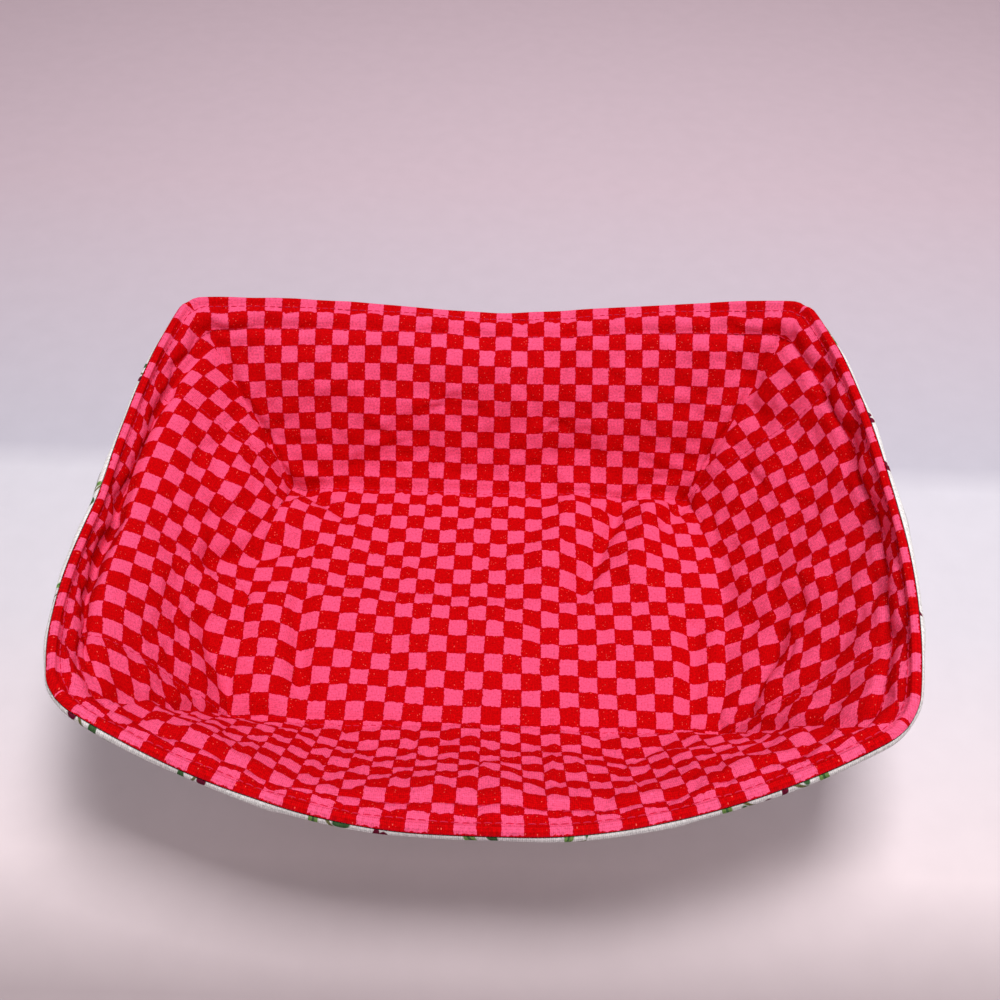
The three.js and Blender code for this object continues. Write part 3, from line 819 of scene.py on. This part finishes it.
# %% Rows of stitching
SEAM_SUNK = 0.0004  # a dart is sewn from the back, so its thread lies below the face
QUILT_SUNK = {"lining": 0.0001, "outer": 0.0003}  # the outer face stands on its quilting


def quilt_line(r):
    """Mesh points of a quilting line, from the left wall's inner topstitching to the right's."""
    up = {}
    for wall in ("left", "right"):
        wall_rows = [wall_points[wall][k] for k in range(1, INNER_ROW - 1)]
        up[wall] = [row[(len(row) - len(rows)) // 2 + r] for row in wall_rows]
    return up["left"][::-1] + floor_points[r] + up["right"]


thread_lines = {
    "edge_topstitch": (row_ring(EDGE_ROW), True),
    "inner_topstitch": (row_ring(INNER_ROW), True),
}
for name, r in (("near", 0), ("middle", FLOOR_ROWS // 2), ("far", FLOOR_ROWS)):
    thread_lines["quilting_" + name] = (quilt_line(r), False)
for wall in LONG_WALLS:
    for side, end in (("left", 0), ("right", -1)):
        line = [wall_points[wall][k][end] for k in range(1, INNER_ROW - 1)]
        thread_lines[f"dart_{wall}_{side}"] = (line, False)

stitches = {}  # CAD node and its stitches
lining_ups, outer_ups = point_normals(lining_places), -point_normals(outer_places)
for name, (line, closed) in thread_lines.items():
    for face, where, ups in (("lining", lining_places, lining_ups), ("outer", outer_places, outer_ups)):
        node_name = f"{name}_{face}" if "topstitch" in name else f"{face}_{name}"
        sunk = SEAM_SUNK if "dart" in name else QUILT_SUNK[face] if "quilting" in name else 0
        stitches[node_name] = stitch_piece(node_name + "_stitches", where[line], ups[line], closed, sunk)
seam_middle = (lining_places[ring] + outer_places[ring]) / 2
stitches["rim_seam_thread"] = stitch_piece("rim_seam_thread_stitches", seam_middle, lining_ups[ring], True)
print(len(stitches), "rows,", sum(len(s.data.polygons) for s in stitches.values()), "faces of thread")

# %% [markdown]
# ## Camera
# The camera stands where the photograph was taken from: above the near side, looking down at
# the bowl. Its place follows from how the squares of the check shrink toward the far rim.

# %% Camera
CAMERA_PLACE = Vector((FLOOR_CENTRE[0] + 0.0092, FLOOR_CENTRE[1] - 0.2320, 0.3000))
CAMERA_AIM = Vector((FLOOR_CENTRE[0] + 0.0034, FLOOR_CENTRE[1] + 0.0304, 0.0252))
CAMERA_ROLL = 0.0133
LENS, SENSOR = 37.8, 36.0  # millimetres
camera = bpy.data.objects.new("camera", bpy.data.cameras.new("camera"))
bpy.context.collection.objects.link(camera)
camera.data.lens, camera.data.sensor_width = LENS, SENSOR
camera.data.clip_start = 0.01
camera.location = CAMERA_PLACE
looking = (CAMERA_AIM - CAMERA_PLACE).to_track_quat("-Z", "Y").to_matrix()
camera.rotation_euler = (looking @ Matrix.Rotation(CAMERA_ROLL, 3, "Z")).to_euler()
bpy.context.scene.camera = camera
bpy.context.scene.view_settings.view_transform = "Standard"
print("the camera is", round(1000 * (CAMERA_AIM - CAMERA_PLACE).length), "mm from what it looks at")

# %% [markdown]
# ## Light
# A large soft lamp above the bowl stands for the window or the softbox of a product photograph.
# A weak one in front opens the shadow below the rim, and the even background does the rest.

# %% Light
ROOM_COLOUR, ROOM_STRENGTH = (1, 0.97, 0.985, 1), 0.27
LAMPS = [  # name, watts, size, place
    ("key", 8.8, 0.38, (0.12, -0.02, 1.0)),
    ("fill", 0.9, 0.6, (0.0, -0.7, 0.5)),
]
LAMP_AIM = Vector((0, 0.02, 0))
world = bpy.data.worlds.new("studio")
bpy.context.scene.world = world
world.use_nodes = True
background = world.node_tree.nodes["Background"]
background.inputs["Color"].default_value = ROOM_COLOUR
background.inputs["Strength"].default_value = ROOM_STRENGTH
for name, energy, size, place in LAMPS:
    light = bpy.data.lights.new(name, "AREA")
    light.energy, light.size = energy, size
    lamp = bpy.data.objects.new(name, light)
    bpy.context.collection.objects.link(lamp)
    lamp.location = place
    lamp.rotation_euler = (LAMP_AIM - lamp.location).to_track_quat("-Z", "Y").to_euler()
    print(name, "lamp is", round((LAMP_AIM - lamp.location).length, 2), "m away")

# %% [markdown]
# ## Shader helpers
# A material is a graph of nodes. It can be drawn by hand in the shader editor, but a few short
# helpers make the same graph from code that reads like a recipe. All surfaces here are dull, so
# one helper links a toned colour and sets how dull the surface is.

# %% Shader helpers
def new_material(name):
    material = bpy.data.materials.new(name)
    material.use_nodes = True
    return material, material.node_tree, material.node_tree.nodes["Principled BSDF"]


def node(tree, kind, links=(), **values):
    """Adds a shader node. links holds (input, socket or value) pairs; values set its properties."""
    made = tree.nodes.new("ShaderNode" + kind)
    for key_name, value in values.items():
        setattr(made, key_name, value)
    for socket, source in links:
        if isinstance(source, bpy.types.NodeSocket):
            tree.links.new(source, made.inputs[socket])
        else:
            made.inputs[socket].default_value = source
    return made


def math_node(tree, operation, *values):
    return node(tree, "Math", list(enumerate(values)), operation=operation).outputs[0]


def mix_colour(tree, factor, a, b):
    made = node(tree, "Mix", [("Factor", factor), (6, a), (7, b)], data_type="RGBA")
    return made.outputs[2]


def ramp(tree, value, low, high, start, end):
    """Maps the span from low to high onto start to end, and holds both ends."""
    links = [("Value", value), ("From Min", low), ("From Max", high), ("To Min", start), ("To Max", end)]
    return node(tree, "MapRange", links).outputs[0]


def scaled_by(tree, vector, factor):
    return node(tree, "VectorMath", [(0, vector), ("Scale", factor)], operation="SCALE").outputs[0]


def dull_finish(tree, shader, colour, tone, roughness, gloss):
    tree.links.new(scaled_by(tree, colour, tone), shader.inputs["Base Color"])
    shader.inputs["Roughness"].default_value = roughness
    shader.inputs["Specular IOR Level"].default_value = gloss


def add_relief(tree, shader, height, strength, depth):
    bump = node(tree, "Bump", [("Height", height), ("Strength", strength), ("Distance", depth)])
    tree.links.new(bump.outputs[0], shader.inputs["Normal"])


shader_helpers = (new_material, node, math_node, mix_colour, ramp, scaled_by, dull_finish, add_relief)
print(len(shader_helpers), "shader helpers")

# %% [markdown]
# ## Weave
# Both cottons are plain weave: each thread goes over one thread and under the next. The weave is
# a node group, built once and placed in both materials. It gives only a height and the uneven
# thickness of spun thread, and each material decides what to do with them.

# %% Weave group
SLUB_PACE = 9.0  # thick and thin places of the thread, to a square of the check


def new_group(name, inputs, outputs):
    tree = bpy.data.node_groups.new(name, "ShaderNodeTree")
    for socket, kind in inputs:
        tree.interface.new_socket(socket, in_out="INPUT", socket_type=kind)
    for socket in outputs:
        tree.interface.new_socket(socket, in_out="OUTPUT", socket_type="NodeSocketFloat")
    return tree, tree.nodes.new("NodeGroupInput"), tree.nodes.new("NodeGroupOutput")


def weave_group():
    """Height of a plain weave: in each cell either the warp or the weft thread lies on top."""
    inputs = [("Vector", "NodeSocketVector"), ("Threads", "NodeSocketFloat")]
    tree, given, result = new_group("weave", inputs, ["Height", "Slub"])
    threads = scaled_by(tree, given.outputs["Vector"], given.outputs["Threads"])
    parts = node(tree, "SeparateXYZ", [(0, threads)])
    x, y = parts.outputs[0], parts.outputs[1]
    cells = math_node(tree, "ADD", math_node(tree, "FLOOR", x), math_node(tree, "FLOOR", y))
    over = math_node(tree, "FLOORED_MODULO", cells, 2.0)
    tops = [math_node(tree, "ABSOLUTE", math_node(tree, "SINE", math_node(tree, "MULTIPLY", c, math.pi)))
            for c in (x, y)]
    height = node(tree, "Mix", [("Factor", over), (2, tops[0]), (3, tops[1])], data_type="FLOAT")
    slub_links = [("Vector", given.outputs["Vector"]), ("Scale", SLUB_PACE), ("Detail", 2.0)]
    slub = node(tree, "TexNoise", slub_links)
    tree.links.new(height.outputs[0], result.inputs["Height"])
    tree.links.new(slub.outputs["Fac"], result.inputs["Slub"])
    return tree


weave = weave_group()
print("the weave group has", len(weave.nodes), "nodes")

# %% [markdown]
# The lining is printed with red and pink squares of a quarter of an inch. The print's edges are
# a little ragged, the red ink runs over the pink's edge, and small pale flecks show in the red
# where the ink missed the cloth. A picture of the cloth could be laid on instead, but a print
# made of nodes stays sharp at any distance.

# %% Check cotton
RED, PINK = (0.56, 0.0004, 0.002, 1), (0.91, 0.09, 0.21, 1)
CRIMSON, FLECK = (0.42, 0.003, 0.02, 1), (0.9, 0.1, 0.08, 1)
RAGGED, RAGGED_PACE = 0.13, 7.0  # how far and how often the print's edges wander, in squares
RED_SPREAD = 0.03  # how far the red ink runs over a pink square's edge, in squares
OVERLAP_WIDTH, OVERLAP_STRENGTH = 0.05, 0.35  # of the darker line where two inks meet
FLECK_PACE, FLECK_SIZE, FLECK_CHANCE = 8.0, 0.2, 0.24
THREADS_PER_CHECK = 12.0
# The first pair paints shade into the weave, darker where a thread dips; the second is the thread's own
# uneven tone.
WEAVE_SHADE_TONES, SLUB_TONES = (0.7, 1.12), (0.76, 1.2)  # darkest and palest


def finish_cotton(tree, shader, uv, colour):
    """Tones a colour by slubs, paints shade where the weave dips, and gives the weave's small relief."""
    woven = node(tree, "Group", [("Vector", uv), ("Threads", THREADS_PER_CHECK)], node_tree=weave)
    worn = ramp(tree, woven.outputs["Slub"], 0.3, 0.7, *SLUB_TONES)
    # painted shade: the colour is darker where the weave's threads dip
    weave_shade = ramp(tree, woven.outputs["Height"], 0.0, 1.0, *WEAVE_SHADE_TONES)
    dull_finish(tree, shader, colour, math_node(tree, "MULTIPLY", worn, weave_shade), 0.85, 0.03)
    add_relief(tree, shader, woven.outputs["Height"], 0.35, 0.0001)


check_cotton, tree, shader = new_material("check_cotton")
uv = node(tree, "UVMap", uv_map="flat_cloth").outputs["UV"]
wobble = node(tree, "TexNoise", [("Vector", uv), ("Scale", RAGGED_PACE), ("Detail", 3.0)])
centred = node(tree, "VectorMath", [(0, wobble.outputs["Color"]), (1, (0.5, 0.5, 0.5))], operation="SUBTRACT")
shift = scaled_by(tree, centred.outputs[0], RAGGED)
ragged = node(tree, "VectorMath", [(0, uv), (1, shift)], operation="ADD")
parts = node(tree, "SeparateXYZ", [(0, ragged.outputs[0])])
floors = [math_node(tree, "FLOOR", parts.outputs[k]) for k in (0, 1)]
border = math_node(tree, "MINIMUM", *(math_node(tree, "PINGPONG", parts.outputs[k], 0.5) for k in (0, 1)))
pink_square = math_node(tree, "FLOORED_MODULO", math_node(tree, "ADD", *floors), 2.0)
pink_square = math_node(tree, "MULTIPLY", pink_square, math_node(tree, "GREATER_THAN", border, RED_SPREAD))
specks = node(tree, "TexVoronoi", [("Vector", uv), ("Scale", FLECK_PACE)])
speck = math_node(tree, "LESS_THAN", specks.outputs["Distance"], FLECK_SIZE)
chance = node(tree, "SeparateXYZ", [(0, specks.outputs["Color"])])
chosen = math_node(tree, "LESS_THAN", chance.outputs[0], FLECK_CHANCE)
red = mix_colour(tree, math_node(tree, "MULTIPLY", speck, chosen), RED, FLECK)
print_colour = mix_colour(tree, pink_square, red, PINK)
overlap = ramp(tree, border, 0.0, OVERLAP_WIDTH, OVERLAP_STRENGTH, 0.0)
finish_cotton(tree, shader, uv, mix_colour(tree, overlap, print_colour, CRIMSON))
lining_sheet.data.materials.append(check_cotton)
print("check cotton has", len(tree.nodes), "nodes")

# %% [markdown]
# ## The sprigs of the outer cloth
# The outer cotton is white with small scattered sprigs: a stem, two pairs of green leaves and
# three dark berries. A Voronoi texture scatters one sprig in each cell, and every sprig is turned
# by its cell's random colour. Leaves and berries are ellipses in the sprig's own coordinates.

# %% Sprig cotton
WHITE, LEAF, DARK_LEAF = (0.87, 0.82, 0.81, 1), (0.20, 0.34, 0.09, 1), (0.06, 0.14, 0.05, 1)
BERRY, STEM = (0.16, 0.008, 0.03, 1), (0.17, 0.16, 0.06, 1)
SPRIG_SPACING = 4.2  # in squares of the check
STEM_SIDE, STEM_END = (0.008, 0.016), (0.28, 0.3)  # where it starts to fade and is gone
SPRIG_SHAPES = [  # place along and beside the stem, lean, half length, half width and colour
    (-0.08, 0.1, 0.9, 0.11, 0.05, LEAF),
    (-0.08, 0.1, 0.9, 0.09, 0.012, DARK_LEAF),  # the leaf's vein
    (0.12, 0.08, 0.7, 0.09, 0.04, DARK_LEAF),
    (0.29, 0.055, 0.0, 0.05, 0.05, BERRY),
    (0.36, 0.0, 0.0, 0.05, 0.05, BERRY),
]
sprig_cotton, tree, shader = new_material("sprig_cotton")
uv = node(tree, "UVMap", uv_map="flat_cloth").outputs["UV"]
spaced = scaled_by(tree, uv, 1 / SPRIG_SPACING)
cells = node(tree, "TexVoronoi", [("Vector", spaced), ("Scale", 1.0), ("Randomness", 0.6)])
from_centre = [(0, spaced), (1, cells.outputs["Position"])]
local = node(tree, "VectorMath", from_centre, operation="SUBTRACT").outputs[0]
random_turn = node(tree, "SeparateXYZ", [(0, cells.outputs["Color"])]).outputs[0]
turn_angle = math_node(tree, "MULTIPLY", random_turn, 2 * math.pi)
turned = node(tree, "VectorRotate", [("Vector", local), ("Angle", turn_angle)], rotation_type="Z_AXIS")
parts = node(tree, "SeparateXYZ", [(0, turned.outputs[0])])
along, beside = parts.outputs[0], math_node(tree, "ABSOLUTE", parts.outputs[1])


def ellipse(centre_along, centre_beside, angle, length, width):
    """Mask of an ellipse beside the stem. Both sides of the stem get one."""
    x = math_node(tree, "SUBTRACT", along, centre_along)
    y = math_node(tree, "SUBTRACT", beside, centre_beside)
    cos, sin = math.cos(angle), math.sin(angle)
    lengthwise = math_node(tree, "ADD", math_node(tree, "MULTIPLY", x, cos / length),
                           math_node(tree, "MULTIPLY", y, sin / length))
    crosswise = math_node(tree, "SUBTRACT", math_node(tree, "MULTIPLY", y, cos / width),
                          math_node(tree, "MULTIPLY", x, sin / width))
    reach = math_node(tree, "ADD", math_node(tree, "MULTIPLY", lengthwise, lengthwise),
                      math_node(tree, "MULTIPLY", crosswise, crosswise))
    return ramp(tree, reach, 0.75, 1.1, 1.0, 0.0)


stem = math_node(tree, "MULTIPLY", ramp(tree, beside, *STEM_SIDE, 1.0, 0.0),
                 ramp(tree, math_node(tree, "ABSOLUTE", along), *STEM_END, 1.0, 0.0))
drawn = mix_colour(tree, stem, WHITE, STEM)
for *shape, colour in SPRIG_SHAPES:
    drawn = mix_colour(tree, ellipse(*shape), drawn, colour)
finish_cotton(tree, shader, uv, drawn)
outer_sheet.data.materials.append(sprig_cotton)
print("sprig cotton has", len(tree.nodes), "nodes")

# %% [markdown]
# ## Thread and batting
# Sewing thread is twisted from fine fibres and batting is a felt of loose ones, so both get
# their tone and their small relief from one node group of uneven fibres at different scales.

# %% Fibres
def fibre_group():
    """Uneven tone and height of bundled fibres."""
    inputs = [("Vector", "NodeSocketVector"), ("Pace", "NodeSocketFloat")]
    tree, given, result = new_group("fibres", inputs, ["Tone", "Height"])
    strands = node(tree, "TexNoise", [("Vector", given.outputs["Vector"]), ("Scale", given.outputs["Pace"]),
                                      ("Detail", 5.0), ("Distortion", 1.5)])
    tree.links.new(ramp(tree, strands.outputs["Fac"], 0.3, 0.7, 0.8, 1.12), result.inputs["Tone"])
    tree.links.new(strands.outputs["Fac"], result.inputs["Height"])
    return tree


fibres = fibre_group()


def fibre_material(name, colour, pace, relief):
    material, tree, shader = new_material(name)
    place = node(tree, "TexCoord").outputs["Object"]
    strands = node(tree, "Group", [("Vector", place), ("Pace", pace)], node_tree=fibres)
    dull_finish(tree, shader, colour, strands.outputs["Tone"], 0.9, 0.1)
    add_relief(tree, shader, strands.outputs["Height"], 0.5, relief)
    return material


def sewn_in_red(node_name):
    return "lining" in node_name or node_name == "rim_seam_thread"


lining_thread = fibre_material("lining_thread", (0.62, 0.02, 0.07), 2500.0, 0.00005)
outer_thread = fibre_material("outer_thread", (0.8, 0.75, 0.75), 2500.0, 0.00005)
batting = fibre_material("batting", (0.85, 0.8, 0.7), 160.0, 0.0008)
for pad in (lining_pad, outer_pad):
    pad.data.materials.append(batting)
for node_name, piece in stitches.items():
    piece.data.materials.append(lining_thread if sewn_in_red(node_name) else outer_thread)
print(sum(map(sewn_in_red, stitches)), "rows of", len(stitches), "are sewn in red")

# %% [markdown]
# ## Floor
# The object stands on a plain pale sheet. Its colour changes with the distance from the camera.
# Part of that is painted light: a painted shadow in front of the object, and painted light that
# lifts the shade under its near rim. Behind the object it turns darker and pinker, as paper does
# that curves up into a backdrop.

# %% Floor
FLOOR_SIZE = 6
FLOOR_TONES_AND_SHADOW = [  # distance behind the middle of the object, and the paper's colour there
    # painted shadow in front of the object, then painted light that lifts the shade under its near rim
    (-0.13, (0.42, 0.34, 0.36, 1)),
    (-0.09, (0.8, 0.68, 0.71, 1)),
    (0.0, (0.72, 0.67, 0.73, 1)),
    (0.07, (0.72, 0.68, 0.75, 1)),
    (0.085, (0.58, 0.54, 0.62, 1)),
    (0.3, (0.67, 0.52, 0.59, 1)),
    (0.7, (0.7, 0.52, 0.59, 1)),
]
bpy.ops.mesh.primitive_plane_add(size=FLOOR_SIZE, location=(0, 0, 0))
floor = bpy.context.object
floor.name = "floor"
floor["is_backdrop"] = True
floor_material, tree, shader = new_material("paper")
place = node(tree, "TexCoord").outputs["Object"]
back = node(tree, "SeparateXYZ", [(0, place)]).outputs[1]
# the paper's tone, with its painted shadow and light, blended from front to back
tone = FLOOR_TONES_AND_SHADOW[0][1]
for (start, _), (end, colour) in zip(FLOOR_TONES_AND_SHADOW, FLOOR_TONES_AND_SHADOW[1:]):
    tone = mix_colour(tree, ramp(tree, back, start, end, 0.0, 1.0), tone, colour)
grain = node(tree, "TexNoise", [("Vector", place), ("Scale", 90.0), ("Detail", 6.0)])
grain_tone = ramp(tree, grain.outputs["Fac"], 0.3, 0.7, 0.985, 1.015)
dull_finish(tree, shader, tone, grain_tone, 0.9, 0.1)
floor.data.materials.append(floor_material)
print("the floor blends", len(FLOOR_TONES_AND_SHADOW), "tones")

# %% [markdown]
# ## What each piece stands for
# Every piece rides on the one body of the part and takes the place of the CAD solid it stands
# for. A dart takes a wedge out of each corner, so the cut's area is less than its rectangle.

# %% Pieces and the CAD parts they replace
slots = {lining_sheet: ("lining_cotton", "lining"), outer_sheet: ("outer_cotton", "outer_shell"),
         lining_pad: ("batting", "lining_batting"), outer_pad: ("batting", "outer_batting")}
for node_name, piece in stitches.items():
    slots[piece] = ("lining_thread" if sewn_in_red(node_name) else "outer_thread", node_name)
for piece, (slot_name, node_name) in slots.items():
    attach(piece, "root")
    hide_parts(node_name)

low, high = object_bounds()
